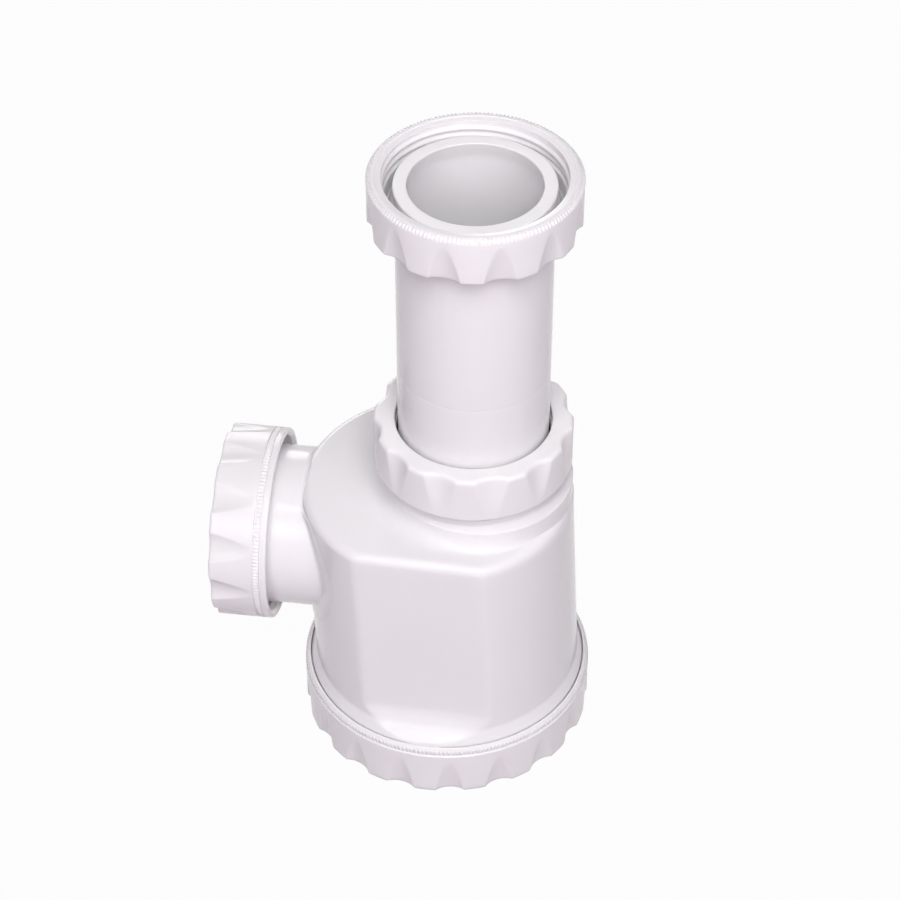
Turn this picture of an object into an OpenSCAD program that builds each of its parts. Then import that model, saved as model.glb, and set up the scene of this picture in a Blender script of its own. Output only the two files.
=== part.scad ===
// Telescopic bottle trap for a sink: a screwed base cap, a barrel with two flats and a side
// outlet, and an inlet tube that slides in the neck. Millimetres, +Z up, the outlet towards -X.
// The origin is on the barrel's foot axis, at the face that the base cap stands on.

/* [Bottle] */
// How far the ring above the base cap stands out from the barrel's foot
ring_step = 1.5; // [1:0.1:2.5]
// How much narrower the barrel is under the shoulder than at its foot, on the radius
barrel_taper = 0.3; // [0:0.1:1.5]
// How far the barrel's axis leans to the outlet, from foot to shoulder
barrel_lean = 2.6; // [1.5:0.1:3.5]
// Height of the barrel's foot, where the ring above the cap ends
foot_z = 21.2; // [20.5:0.1:24]
// Height of the flat roof
roof_z = 82.4; // [80:0.1:95]
// Radius of the rounded edge between wall and roof
shoulder_r = 2.6; // [1.5:0.1:3.2]
// Wall of the barrel
wall = 2.4; // [1.8:0.1:2.8]
// How far the front and back flats are cut in from the barrel's foot radius
flat_cut = 4.5; // [3.5:0.1:7]
// Turn of the flats about the foot axis, towards the outlet, in degrees
flat_turn = 2; // [0:0.1:4]
// Height at which a flat ends in its ledge
flat_z = 24.7; // [23:0.1:30]
// Height of the steep upper part of the ledge
ledge_drop = 4.1; // [3:0.1:5]
// How far that steep part stands out from the flat
ledge_out = 2; // [1.5:0.1:3]
// Height at which the ledge runs out at the ring
ledge_z = 17.9; // [17.6:0.1:19]
// Height of the ring's square part in the cap's mouth
ring_h = 2; // [1.5:0.1:2.4]
// Gap between the bottle's mouth and the cap's floor, filled by the flat seal
base_seal_t = 2.2; // [1.5:0.1:3]
// Width of the flat seal
base_seal_w = 4.9; // [3.5:0.1:6]

/* [Neck] */
// Distance of the neck's axis from the barrel's foot axis
neck_x = 7.3; // [6:0.1:8]
// Wall of the neck under its thread
neck_wall = 2.1; // [1.8:0.1:2.6]
// How far the male thread of the neck and the outlet stands out from the neck
thread_depth = 1.1; // [0.9:0.1:1.3]
// Centre of the eccentric boss that carries the neck
boss_x = 9.5; // [8.5:0.1:10.5]
// How much the boss is wider than the neck, on the radius
boss_step = 2; // [1.5:0.1:3]
// Height of the boss above the roof
boss_h = 5.6; // [3:0.1:7]
// Height of the neck nut's closed end above the roof
neck_h = 25.5; // [24:0.1:28]
// Length of the neck's male thread
neck_thread_h = 9.4; // [8:0.1:12]
// Plain end of the neck and the spigot beyond their threads
thread_end = 0.6; // [0.4:0.1:1]
// Height of the lower end of the inner dip tube
dip_z = 13; // [11:0.5:20]
// Wall of the inner dip tube
dip_wall = 1.9; // [1.5:0.1:2.2]

/* [Outlet] */
// Height of the outlet's axis
outlet_z = 61.2; // [58:0.1:64]
// Wall of the outlet spigot at its pipe socket
socket_wall = 1.5; // [1.3:0.1:2]
// Width of the stop that ends the pipe socket
stop_w = 2.9; // [2:0.1:3.5]
// Distance of the socket's stop from the foot axis
socket_stop_x = 41.4; // [40:0.1:44]
// Width of the low pad on the barrel round the spigot's root
pad_w = 4; // [3:0.1:5]
// Height of that pad above the barrel's wall
pad_h = 0.35; // [0.2:0.05:0.5]
// Length of the spigot's male thread
outlet_thread_h = 5.4; // [5:0.1:8]
// Distance of the outlet nut's outer face from the foot axis
outlet_end_x = 62.9; // [60:0.1:70]

/* [Inlet tube] */
// Outer radius of the sliding tube
tube_r = 20.5; // [20:0.1:20.6]
// Wall of the sliding tube at its lower end
tube_wall = 2.2; // [1.6:0.1:3]
// Draft of the tube's bore, which is this much narrower at the flange
tube_draft = 0.9; // [0.4:0.1:1]
// Height of the tube's lower end, half drawn out
tube_end_z = 82; // [78:0.5:84]
// Height of the inlet nut's open rim
inlet_rim_z = 188.1; // [180:0.1:195]
// Width of the flange that the inlet nut pulls up
tube_flange_w = 1.6; // [1.4:0.1:1.8]
// Thickness of that flange
tube_flange_t = 3.8; // [3:0.1:4]
// Thickness of the flat inlet washer
washer_t = 3.8; // [3:0.1:4]
// How far the inlet washer stands out from the tube
washer_over = 0.4; // [0.2:0.1:0.6]

/* [Nuts] */
// Wall of the neck nut and the outlet nut at their thread
nut_wall = 2.2; // [2:0.1:2.8]
// Wall of the inlet nut at its thread
inlet_nut_wall = 4.1; // [3.6:0.1:4.6]
// Height of the inlet nut and the neck nut
nut_h = 13.8; // [13:0.1:15]
// Height of the outlet nut
outlet_nut_h = 16; // [15:0.1:16.4]
// Plain rim of the outlet nut beyond its scallops
outlet_nut_rim = 4.2; // [3.8:0.1:5]
// Thickness of a nut's closed end
nut_floor = 3.2; // [2.8:0.1:3.6]
// Depth of the inlet nut's plain seat under its thread, from the thread's radius in
inlet_seat_step = 0.4; // [0.2:0.1:0.5]
// Number of scallops round a nut
nut_scallops = 12; // [8:1:16]
// Depth of a nut's scallop at its closed end
nut_scallop_d = 1.7; // [1:0.1:2]
// Radius of the round cutter of a nut's scallop
nut_scallop_r = 8; // [6:0.5:12]
// Plain rim of the inlet nut and the neck nut beyond their scallops
nut_rim = 3; // [2.4:0.1:4]
// Rounded edge of a nut's closed end
nut_edge = 1; // [0.6:0.1:1.4]
// Tapered lead into a nut's thread
nut_lead = 0.8; // [0.4:0.1:1]
// Turn of the inlet nut about its axis, in degrees
inlet_nut_turn = 5.5; // [0:0.5:30]
// Turn of the neck nut about its axis, in degrees
neck_nut_turn = 2.7; // [0:0.1:30]
// Turn of the outlet nut about its axis, in degrees
outlet_nut_turn = 10; // [0:0.5:30]
// Thickness of the slip ring under a nut's closed end
slip_ring_t = 1.6; // [1.2:0.1:2]
// Thickness of the flat part of a compression seal
seal_t = 2.4; // [2:0.1:3]
// Depth of the seal's tapered lip in the mouth of the neck or the spigot
lip_h = 1.8; // [1.4:0.1:2]
// How far the lip's tip stays inside the bore
lip_gap = 0.05; // [0.03:0.01:0.1]
// How far the lip's root stays inside the tapered mouth
lip_play = 0.3; // [0.2:0.05:0.5]

/* [Base cap] */
// Outer radius of the base cap
cap_r = 41.3; // [41:0.1:43]
// Height of the base cap
cap_h = 17.5; // [17:0.1:19]
// Floor of the base cap
cap_floor = 3; // [2.5:0.1:4]
// Wall of the base cap at its female thread
cap_wall = 2.5; // [2.2:0.1:3]
// Wall of the base cap at its mouth, round the bottle's ring
cap_rim = 1.5; // [1.2:0.1:2]
// Number of scallops round the cap
cap_scallops = 18; // [12:1:24]
// Depth of a cap's scallop at the floor
cap_scallop_d = 1.7; // [1:0.1:2]
// Radius of the round cutter of a cap's scallop
cap_scallop_r = 7; // [5:0.5:10]
// Height of a cap's scallop
cap_scallop_h = 12.3; // [8:0.1:13]
// Rounded edge of the cap's floor
cap_edge = 1.4; // [0.8:0.1:2]
// Turn of the cap about its axis, in degrees
cap_turn = 8.7; // [0:0.1:20]
// Distance of the ring groove under the cap from the cap's edge
cap_groove_in = 6; // [5:0.1:10]
// Width of that groove
cap_groove_w = 3; // [2:0.1:5]
// Depth of the ring groove under the cap
cap_groove = 0.8; // [0.4:0.1:1.5]

/* [Fits] */
// Gap round a part that slides or turns in another
slide_gap = 0.4; // [0.3:0.05:0.5]
// Extra play of the tube in the neck below the seal
neck_play = 0.3; // [0.1:0.05:0.5]
// Gap round the tube in the hole of a nut's closed end
hole_gap = 0.8; // [0.6:0.1:1]
// Gap between a nut's thread and the male thread in it
thread_gap = 0.5; // [0.4:0.1:0.7]
// Gap between the inlet nut's plain seat and the tube's flange
flange_gap = 0.9; // [0.5:0.1:1.2]
// Gap between a nut's closed end and the slip ring that it presses
seat_gap = 0.1; // [0.05:0.05:0.2]

/* [Hidden] */
$fn = 96;
// A small overlap that keeps cutting faces apart
eps = 0.02;
// How far cutters and trimming shapes run on beyond the body
beyond = 20;
// Clearance between the hollow's foot and the leaning hollow above it
foot_clear = 0.3;
// Slack of the drum that rounds the shoulder, so that it only trims the barrel's top edge
drum_slack = 0.45;
// How far the ring's cone runs on past the barrel's foot, as a share of its height
cone_run = 1.6;
// Radii from the base cap's edge in: its mouth and thread, the bottle's ring and thread in them,
// the barrel above, its flats, the flat seal's bore and the groove under the cap
cap_mouth_r = cap_r - cap_rim;
cap_thread_r = cap_r - cap_wall;
ring_r = cap_mouth_r - slide_gap;
base_thread_r = cap_thread_r - slide_gap;
barrel_foot_r = ring_r - ring_step;
barrel_top_r = barrel_foot_r - barrel_taper;
flat_y = barrel_foot_r - flat_cut;
base_seal_bore_r = base_thread_r - base_seal_w;
cap_groove_r = cap_r - cap_groove_in;
// Angle by which the barrel leans
lean = atan(barrel_lean / (roof_z - foot_z));
// Radii from the tube out: the neck's bore, the neck and its thread, the boss, and the nuts
neck_bore_r = tube_r + slide_gap + neck_play;
neck_r = neck_bore_r + neck_wall;
neck_thread_r = neck_r + thread_depth;
boss_r = neck_r + boss_step;
nut_hole_r = tube_r + hole_gap;
nut_thread_r = neck_thread_r + thread_gap;
nut_r = nut_thread_r + nut_wall;
// Radii of the outlet, whose waste pipe is as wide as the tube
socket_r = tube_r + slide_gap;
spigot_r = socket_r + socket_wall;
pad_r = spigot_r + pad_w;
outlet_bore_r = socket_r - stop_w;
// Radii at the inlet: the tube's bore and flange, the washer, and the inlet nut round them
tube_bore_r = tube_r - tube_wall;
washer_bore_r = tube_bore_r - tube_draft;
washer_r = tube_r + washer_over;
tube_flange_r = tube_r + tube_flange_w;
inlet_seat_r = tube_flange_r + flange_gap;
inlet_thread_r = inlet_seat_r + inlet_seat_step;
inlet_nut_r = inlet_thread_r + inlet_nut_wall;
// Heights of the neck's compression joint, from its nut's outer face down
neck_nut_top = roof_z + neck_h;
neck_ring_top = neck_nut_top - nut_floor - seat_gap;
neck_seal_top = neck_ring_top - slip_ring_t;
neck_top = neck_seal_top - seal_t;
// Distances of the outlet's compression joint, from its nut's outer face inwards
outlet_ring_end = outlet_end_x - nut_floor - seat_gap;
outlet_seal_end = outlet_ring_end - slip_ring_t;
outlet_top = outlet_seal_end - seal_t;
// Start of the outlet's bore, inside the barrel beside the dip tube
outlet_bore_x = (neck_bore_r + dip_wall - neck_x + barrel_foot_r - wall) / 2;
// Radius of the seal and the slip ring, inside the nut's thread
seal_r = nut_thread_r - slide_gap;
seal_bore_r = tube_r + slide_gap;
// Heights in the inlet nut, from its open rim down
inlet_nut_z = inlet_rim_z - nut_h;
tube_flange_z = inlet_nut_z + nut_floor;
washer_z = tube_flange_z + tube_flange_t;
// Heights in the base cap
mouth_z = cap_floor + base_seal_t;
ring_z = cap_h - ring_h;
// Colours
white = [0.93, 0.92, 0.93];
soft_white = [0.9, 0.9, 0.88];
rubber = [0.25, 0.25, 0.27];

// A ring of revolution: outer radius, inner radius, height
module ring(r, bore, h) {
    difference() {
        cylinder(h = h, r = r);
        translate([0, 0, -1])
            cylinder(h = h + 2, r = bore);
    }
}

// Children turned so that their +Z points out of the outlet, with their origin on its axis
module at_outlet(x) {
    translate([-x, 0, outlet_z])
        rotate([0, -90, 0])
            children();
}

// Children that follow the barrel's lean about its foot
module leaning() {
    translate([0, 0, foot_z])
        rotate([0, -lean, 0])
            children();
}

// Cone cutters beside the wall, deepest at height 0 and just clear of the wall at rise
module scallops(count, turn, r, depth, cutter_r, rise) {
    for (i = [0 : count - 1])
        rotate([0, 0, turn + i * 360 / count])
            translate([r - depth + cutter_r, 0, -1])
                cylinder(h = rise + 2, r1 = cutter_r + depth / rise,
                    r2 = cutter_r - depth * (rise + 1) / rise, $fn = 48);
}

// The half outline of a nut or a cap, closed end at height 0: a body with softened outer edges
module cup_outline(r, h, edge) {
    union() {
        square([r - edge, h]);
        translate([0, edge])
            square([r, h - 1.5 * edge]);
        translate([r - edge, edge])
            circle(r = edge, $fn = 32);
        translate([r - edge, h - edge / 2])
            square([edge / 2, edge / 2]);
    }
}

// A union nut, closed end down at height 0: a plain seat up to seat_h, the thread above it, and
// a scallop half a pitch from +X
module union_nut(r, h, rim, thread_r, seat_r, seat_h) {
    difference() {
        rotate_extrude()
            intersection() {
                cup_outline(r, h, nut_edge);
                square([r, h]);
            }
        translate([0, 0, -1])
            cylinder(h = h + 2, r = nut_hole_r);
        translate([0, 0, nut_floor])
            cylinder(h = h, r = seat_r);
        translate([0, 0, seat_h])
            cylinder(h = h, r = thread_r);
        translate([0, 0, h - nut_lead])
            cylinder(h = nut_lead + eps, r1 = thread_r, r2 = thread_r + nut_lead);
        scallops(nut_scallops, 180 / nut_scallops, r, nut_scallop_d, nut_scallop_r, h - rim);
    }
}

// A flat compression seal with a tapered lip below it, the lip's tip at height 0
module compression_seal() {
    difference() {
        union() {
            translate([0, 0, lip_h])
                cylinder(h = seal_t, r = seal_r);
            cylinder(h = lip_h + eps, r1 = neck_bore_r - lip_gap, r2 = neck_bore_r + lip_h - lip_play);
        }
        translate([0, 0, -1])
            cylinder(h = lip_h + seal_t + 2, r = seal_bore_r);
    }
}

// The barrel's outside: a leaning cone kept inside a drum with a rounded top edge
module barrel_outside() {
    drum_r = barrel_top_r + drum_slack;
    intersection() {
        leaning()
            translate([0, 0, -3])
                cylinder(h = roof_z, r1 = barrel_foot_r, r2 = barrel_top_r);
        translate([-barrel_lean, 0, 0])
            rotate_extrude()
                union() {
                    square([drum_r - shoulder_r, roof_z]);
                    square([drum_r + beyond, roof_z - shoulder_r]);
                    translate([drum_r - shoulder_r, roof_z - shoulder_r])
                        circle(r = shoulder_r);
                }
    }
}

// The space outside both flats, above their sloping ledges, moved inwards by inset
module beside_flats(inset) {
    y = flat_y - inset;
    z = flat_z - inset / 2;
    for (turn = [0, 180])
        rotate([0, 0, turn - flat_turn])
            translate([-60, 0, 0])
                rotate([90, 0, 90])
                    linear_extrude(height = 120)
                        polygon([[y, z], [y + ledge_out, z - ledge_drop],
                            [ring_r - inset, ledge_z - inset / 2],
                            [ring_r + beyond, ledge_z - inset / 2], [ring_r + beyond, roof_z + beyond],
                            [y, roof_z + beyond]]);
}

// The hollow of the barrel, open at the foot
module barrel_hollow() {
    difference() {
        union() {
            translate([0, 0, mouth_z - 1])
                cylinder(h = foot_z - mouth_z + 2, r = barrel_foot_r - wall - foot_clear);
            intersection() {
                leaning()
                    cylinder(h = roof_z, r1 = barrel_foot_r - wall, r2 = barrel_top_r - wall);
                translate([-60, -60, foot_z])
                    cube([120, 120, roof_z - wall - foot_z]);
            }
        }
        beside_flats(wall);
    }
}

module bottle_body() {
    color(white)
        difference() {
            union() {
                // Barrel with its two flats, the ring and the thread in the cap
                difference() {
                    union() {
                        difference() {
                            union() {
                                barrel_outside();
                                translate([0, 0, cap_h])
                                    cylinder(h = cone_run * (foot_z - cap_h), r1 = ring_r,
                                        r2 = ring_r - cone_run * (ring_r - barrel_foot_r));
                            }
                            beside_flats(0);
                        }
                        translate([0, 0, ring_z])
                            cylinder(h = ring_h, r = ring_r);
                        translate([0, 0, mouth_z])
                            cylinder(h = ring_z - mouth_z, r = base_thread_r);
                    }
                    barrel_hollow();
                }
                // Boss, neck and the dip tube below it
                translate([boss_x, 0, roof_z - wall])
                    cylinder(h = wall + boss_h, r = boss_r);
                translate([neck_x, 0, roof_z - wall])
                    cylinder(h = neck_top - roof_z + wall, r = neck_r);
                translate([neck_x, 0, neck_top - thread_end - neck_thread_h])
                    cylinder(h = neck_thread_h, r = neck_thread_r);
                translate([neck_x, 0, dip_z])
                    cylinder(h = roof_z - dip_z, r = neck_bore_r + dip_wall);
                // Outlet spigot with its thread, and the low pad round its root
                difference() {
                    union() {
                        at_outlet(0)
                            cylinder(h = outlet_top, r = spigot_r);
                        intersection() {
                            at_outlet(0)
                                cylinder(h = outlet_top, r = pad_r);
                            leaning()
                                cylinder(h = roof_z - foot_z - shoulder_r,
                                    r1 = barrel_foot_r + pad_h, r2 = barrel_top_r + pad_h);
                        }
                        at_outlet(outlet_top - thread_end - outlet_thread_h)
                            cylinder(h = outlet_thread_h, r = neck_thread_r);
                    }
                    leaning()
                        cylinder(h = roof_z, r1 = barrel_foot_r - wall, r2 = barrel_top_r - wall);
                }
            }
            // Bore of the neck and the dip tube, with a tapered mouth for the seal
            translate([neck_x, 0, dip_z - 1])
                cylinder(h = neck_top - dip_z + 2, r = neck_bore_r);
            translate([neck_x, 0, neck_top - lip_h])
                cylinder(h = lip_h + eps, r1 = neck_bore_r, r2 = neck_bore_r + lip_h);
            // Waterway, pipe socket and tapered mouth of the outlet
            at_outlet(outlet_bore_x)
                cylinder(h = outlet_top, r = outlet_bore_r);
            at_outlet(socket_stop_x)
                cylinder(h = outlet_top, r = socket_r);
            at_outlet(outlet_top - lip_h)
                cylinder(h = lip_h + eps, r1 = neck_bore_r, r2 = neck_bore_r + lip_h);
        }
}

module inlet_tube() {
    color(white)
        translate([neck_x, 0, 0])
            difference() {
                union() {
                    translate([0, 0, tube_end_z])
                        cylinder(h = tube_flange_z - tube_end_z + 1, r = tube_r);
                    translate([0, 0, tube_flange_z])
                        cylinder(h = tube_flange_t, r = tube_flange_r);
                }
                translate([0, 0, tube_end_z])
                    cylinder(h = washer_z - tube_end_z + eps, r1 = tube_bore_r, r2 = washer_bore_r);
                // Chamfer inside the lower end
                translate([0, 0, tube_end_z - eps])
                    cylinder(h = 1.2, r1 = tube_bore_r + 1, r2 = tube_bore_r - 0.2);
            }
}

module inlet_washer() {
    color(soft_white)
        translate([neck_x, 0, washer_z])
            ring(washer_r, washer_bore_r, washer_t);
}

module inlet_nut() {
    color(white)
        translate([neck_x, 0, inlet_nut_z])
            rotate([0, 0, inlet_nut_turn])
                union_nut(inlet_nut_r, nut_h, nut_rim, inlet_thread_r, inlet_seat_r,
                    nut_floor + tube_flange_t + washer_t);
}

module neck_nut() {
    color(white)
        translate([neck_x, 0, neck_nut_top])
            rotate([180, 0, neck_nut_turn])
                union_nut(nut_r, nut_h, nut_rim, nut_thread_r, nut_thread_r, nut_floor);
}

module neck_slip_ring() {
    color(soft_white)
        translate([neck_x, 0, neck_seal_top])
            ring(seal_r, seal_bore_r, slip_ring_t);
}

module neck_seal() {
    color(rubber)
        translate([neck_x, 0, neck_top - lip_h])
            compression_seal();
}

module outlet_nut() {
    color(white)
        at_outlet(outlet_end_x)
            rotate([180, 0, outlet_nut_turn])
                union_nut(nut_r, outlet_nut_h, outlet_nut_rim, nut_thread_r, nut_thread_r,
                    nut_floor);
}

module outlet_slip_ring() {
    color(soft_white)
        at_outlet(outlet_seal_end)
            ring(seal_r, seal_bore_r, slip_ring_t);
}

module outlet_seal() {
    color(rubber)
        at_outlet(outlet_top - lip_h)
            compression_seal();
}

module base_cap() {
    color(white)
        difference() {
            rotate_extrude()
                intersection() {
                    cup_outline(cap_r, cap_h, cap_edge);
                    square([cap_r, cap_h]);
                }
            translate([0, 0, cap_floor])
                cylinder(h = cap_h, r = cap_thread_r);
            translate([0, 0, ring_z - slide_gap])
                cylinder(h = cap_h, r = cap_mouth_r);
            translate([0, 0, -1])
                ring(cap_groove_r, cap_groove_r - cap_groove_w, 1 + cap_groove);
            scallops(cap_scallops, cap_turn - 90, cap_r, cap_scallop_d, cap_scallop_r,
                cap_scallop_h);
        }
}

module base_cap_seal() {
    color(rubber)
        translate([0, 0, cap_floor])
            ring(base_thread_r, base_seal_bore_r, base_seal_t);
}

bottle_body();
inlet_tube();
inlet_washer();
inlet_nut();
neck_nut();
neck_slip_ring();
neck_seal();
outlet_nut();
outlet_slip_ring();
outlet_seal();
base_cap();
base_cap_seal();
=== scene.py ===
# %% [markdown]
# # A telescopic bottle trap in moulded white plastic
# The trap hangs under a sink. Water falls down the inlet tube, through the dip tube into the screwed
# cap at the foot, rises round the dip tube and leaves by the side outlet. The water that stays in the
# bottle keeps smells out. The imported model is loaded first: it fixes every size and every joint, in
# metres, while the sums below are in millimetres. Each step makes one real piece as a smooth surface
# and hangs it on the body that carries it.

# %% Load the frame
import bpy
import numpy as np
from mathutils import Matrix, Vector


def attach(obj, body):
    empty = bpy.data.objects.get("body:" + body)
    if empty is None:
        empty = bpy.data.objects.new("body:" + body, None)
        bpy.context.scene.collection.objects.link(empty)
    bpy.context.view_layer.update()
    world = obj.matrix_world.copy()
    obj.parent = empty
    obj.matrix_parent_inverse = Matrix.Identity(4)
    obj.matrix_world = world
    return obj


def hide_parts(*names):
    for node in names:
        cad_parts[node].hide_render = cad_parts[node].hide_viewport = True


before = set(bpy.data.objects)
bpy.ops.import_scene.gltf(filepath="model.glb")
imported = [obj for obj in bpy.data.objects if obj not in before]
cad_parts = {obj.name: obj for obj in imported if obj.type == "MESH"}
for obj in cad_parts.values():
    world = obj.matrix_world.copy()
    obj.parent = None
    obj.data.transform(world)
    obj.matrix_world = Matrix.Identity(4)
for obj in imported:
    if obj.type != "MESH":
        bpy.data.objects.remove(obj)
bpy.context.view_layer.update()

# %% [markdown]
# ## The view
# The photograph looks down at 42 degrees, a little from the right of the front. A camera is a place, a
# direction and a lens. The direction is kept as two angles, as a photographer's tripod has them, and the
# place follows from the distance to a target near the middle of the trap.

# %% Camera
AZIMUTH, ELEVATION = np.radians([7.518, 42.026])
TARGET = Vector((0.000883, 0.0, 0.094486))
DISTANCE = 0.7379
LENS, SENSOR, NEAREST = 107.97, 36.0, 0.01
back = Vector((np.sin(AZIMUTH) * np.cos(ELEVATION), -np.cos(AZIMUTH) * np.cos(ELEVATION),
               np.sin(ELEVATION)))
lens = bpy.data.cameras.new("studio_camera")
lens.lens, lens.sensor_width, lens.clip_start = LENS, SENSOR, NEAREST
camera = bpy.data.objects.new("studio_camera", lens)
bpy.context.scene.collection.objects.link(camera)
side = Vector((0, 0, 1)).cross(back).normalized()
camera.matrix_world = Matrix.Translation(TARGET + DISTANCE * back) @ Matrix(
    (side, back.cross(side), back)).transposed().to_4x4()
bpy.context.scene.camera = camera
bpy.context.scene.view_settings.view_transform = "Standard"
print("camera at", [round(v, 4) for v in camera.matrix_world.translation])

# %% [markdown]
# ## Shader sums in plain words
# A procedural finish is a sum of small effects: a faint cloudiness, a fine skin, a dull patch. Linking
# maths nodes by hand hides such a sum, so one small class wraps a socket and lets Python's own signs add
# the nodes. One method makes every other kind of node, for a finish and for the studio's world alike.

# %% A class for shader maths
class Value:
    """A number that comes out of a socket. Each sign adds one Math node."""

    def __init__(self, sheet, socket):
        self.sheet, self.socket = sheet, socket

    def _math(self, operation, a, b, clamp=False):
        return self.sheet.node("ShaderNodeMath", {"operation": operation, "use_clamp": clamp},
                               {0: a, 1: b})[0]

    def __add__(self, other): return self._math("ADD", self, other)
    def __radd__(self, other): return self._math("ADD", other, self)
    def __sub__(self, other): return self._math("SUBTRACT", self, other)
    def __rsub__(self, other): return self._math("SUBTRACT", other, self)
    def __mul__(self, other): return self._math("MULTIPLY", self, other)
    def __rmul__(self, other): return self._math("MULTIPLY", other, self)
    def clamped(self): return self._math("ADD", self, 0.0, clamp=True)


class Sheet:
    """A node tree, and the one method that makes any node in it."""

    def __init__(self, tree):
        self.tree = tree

    def put(self, socket, value):
        """A link where the value comes from a node, or else a plain setting."""
        if isinstance(value, Value):
            value = value.socket
        if isinstance(value, bpy.types.NodeSocket):
            self.tree.links.new(value, socket)
        else:
            socket.default_value = value

    def node(self, kind, settings=None, inputs=None):
        """Makes a node, sets it, fills its inputs, and returns its outputs as values."""
        made = self.tree.nodes.new(kind)
        for key, value in (settings or {}).items():
            setattr(made, key, value)
        for key, value in (inputs or {}).items():
            self.put(made.inputs[key], value)
        return [Value(self, out) for out in made.outputs]

    def blend(self, factor, low, high):
        """A colour between two colours."""
        return self.node("ShaderNodeMix", {"data_type": "RGBA"}, {0: factor, 6: low, 7: high})[2]

    def seen(self):
        """1 for a ray from the camera, a mirrored one or one through glass, 0 for other light."""
        rays = self.node("ShaderNodeLightPath")
        return (rays[0] + rays[3] + rays[6]).clamped()


class Finish(Sheet):
    """A material with one Principled shader. Fixed numbers go straight on its sockets."""

    def __init__(self, name, **fixed):
        self.material = bpy.data.materials.new(name)
        self.material.use_nodes = True
        super().__init__(self.material.node_tree)
        self.shader = self.tree.nodes["Principled BSDF"]
        for socket, value in fixed.items():
            self.shader.inputs[socket.replace("_", " ")].default_value = value

    def noise(self, scale, detail=3.0, roughness=0.5):
        """Cloud noise on the piece's own coordinates, about 0.5 on average."""
        place = self.node("ShaderNodeTexCoord")[3]
        return self.node("ShaderNodeTexNoise", None, {"Vector": place, "Scale": scale, "Detail": detail,
                                                      "Roughness": roughness})[0]

    def bump(self, height, distance):
        """Gives the shader a skin: height in 0 to 1, distance in metres."""
        normal = self.node("ShaderNodeBump", None, {"Height": height, "Distance": distance})[0]
        self.put(self.shader.inputs["Normal"], normal)

# %% [markdown]
# ## Moulded polypropylene
# The bottle, the tube, the nuts and the cap are injection moulded in white polypropylene. It is glossy
# but not quite smooth: the polished steel of the mould leaves a faint skin, and the melt leaves broad
# clouds that show only in the gloss. Light goes a little way in, so shadows stay soft and the bore of a
# thin wall glows. One finish could serve all the pieces, but the bottle comes from the best polished
# mould, the nuts are a touch duller, and the soft washer is whiter, so a function makes them all.

# %% White plastics
CLOUD, WAVE, SKIN = 24.0, 90.0, 700.0      # noise scales: patches of 40, 11 and 1.4 mm
DRIFT = 0.03                               # how far the roughness drifts with the cloud


def white_plastic(name, low, high, rough, skin_height, depth):
    """Gloss white: colour and gloss drift together with a broad cloud, over a fine skin."""
    finish = Finish(name, Roughness=rough, IOR=1.49, Specular_IOR_Level=0.28, Subsurface_Weight=depth,
                    Subsurface_Radius=(1.0, 0.86, 0.92), Subsurface_Scale=0.003)
    cloud = finish.noise(CLOUD)
    finish.put(finish.shader.inputs["Base Color"], finish.blend(cloud, low, high))
    finish.put(finish.shader.inputs["Roughness"], rough - DRIFT + cloud * (2.0 * DRIFT))
    finish.bump(finish.noise(SKIN, 2.0) * 0.5 + finish.noise(WAVE, 2.0) * 0.5, skin_height)
    return finish.material


bottle_white = white_plastic("moulded_bottle_white", (0.79, 0.785, 0.795, 1), (0.82, 0.815, 0.825, 1),
                             rough=0.15, skin_height=0.000018, depth=0.35)
nut_white = white_plastic("moulded_nut_white", (0.80, 0.793, 0.80, 1), (0.83, 0.823, 0.83, 1),
                          rough=0.22, skin_height=0.000022, depth=0.3)
washer_white = white_plastic("soft_washer_white", (0.90, 0.895, 0.90, 1), (0.92, 0.915, 0.92, 1),
                             rough=0.36, skin_height=0.00003, depth=0.18)
slip_white = white_plastic("thin_slip_white", (0.80, 0.80, 0.78, 1), (0.84, 0.84, 0.82, 1),
                           rough=0.34, skin_height=0.00003, depth=0.18)
print("whites", [finish.name for finish in (bottle_white, nut_white, washer_white, slip_white)])

# %% [markdown]
# ## Moulded rubber
# The seals are black rubber with a soft sheen and a bloom, the pale film that rubber sweats out in
# store. The bloom is patchy, so it is a mask that lifts both the colour and the roughness.

# %% Black rubber
BLOOM, GRAIN = 160.0, 1400.0               # noise scales: patches of 6 and 0.7 mm
rubber = Finish("seal_rubber_black", IOR=1.5)
bloom = ((rubber.noise(BLOOM, 5.0, 0.6) - 0.45) * 3.0).clamped()
rubber.put(rubber.shader.inputs["Base Color"],
           rubber.blend(bloom, (0.022, 0.022, 0.024, 1), (0.045, 0.045, 0.048, 1)))
rubber.put(rubber.shader.inputs["Roughness"], 0.52 + bloom * 0.22)
rubber.bump(rubber.noise(GRAIN, 3.0), 0.00005)
rubber_black = rubber.material
print("rubber", rubber_black.name, "with", len(rubber.tree.nodes), "nodes")

# %% [markdown]
# ## Surfaces from two parameters
# Nearly every piece of a trap is a turned form: an outline that goes round an axis. On the computer that
# is a grid: one parameter runs along the outline and the other runs round the axis. The outline is given
# by its corners and the rounding of each corner, as on a drawing, because no moulded edge is sharp. What
# isn't round, such as a scallop, a knurl or a thread, is a change of the radius on the same grid, so the
# piece stays one closed skin.

# %% Outlines and soft joins
def steps(count, end=1.0):
    """Equal steps from 0 to end, without the 0, as one column."""
    return np.linspace(0, end, count + 1)[1:, None]


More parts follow.
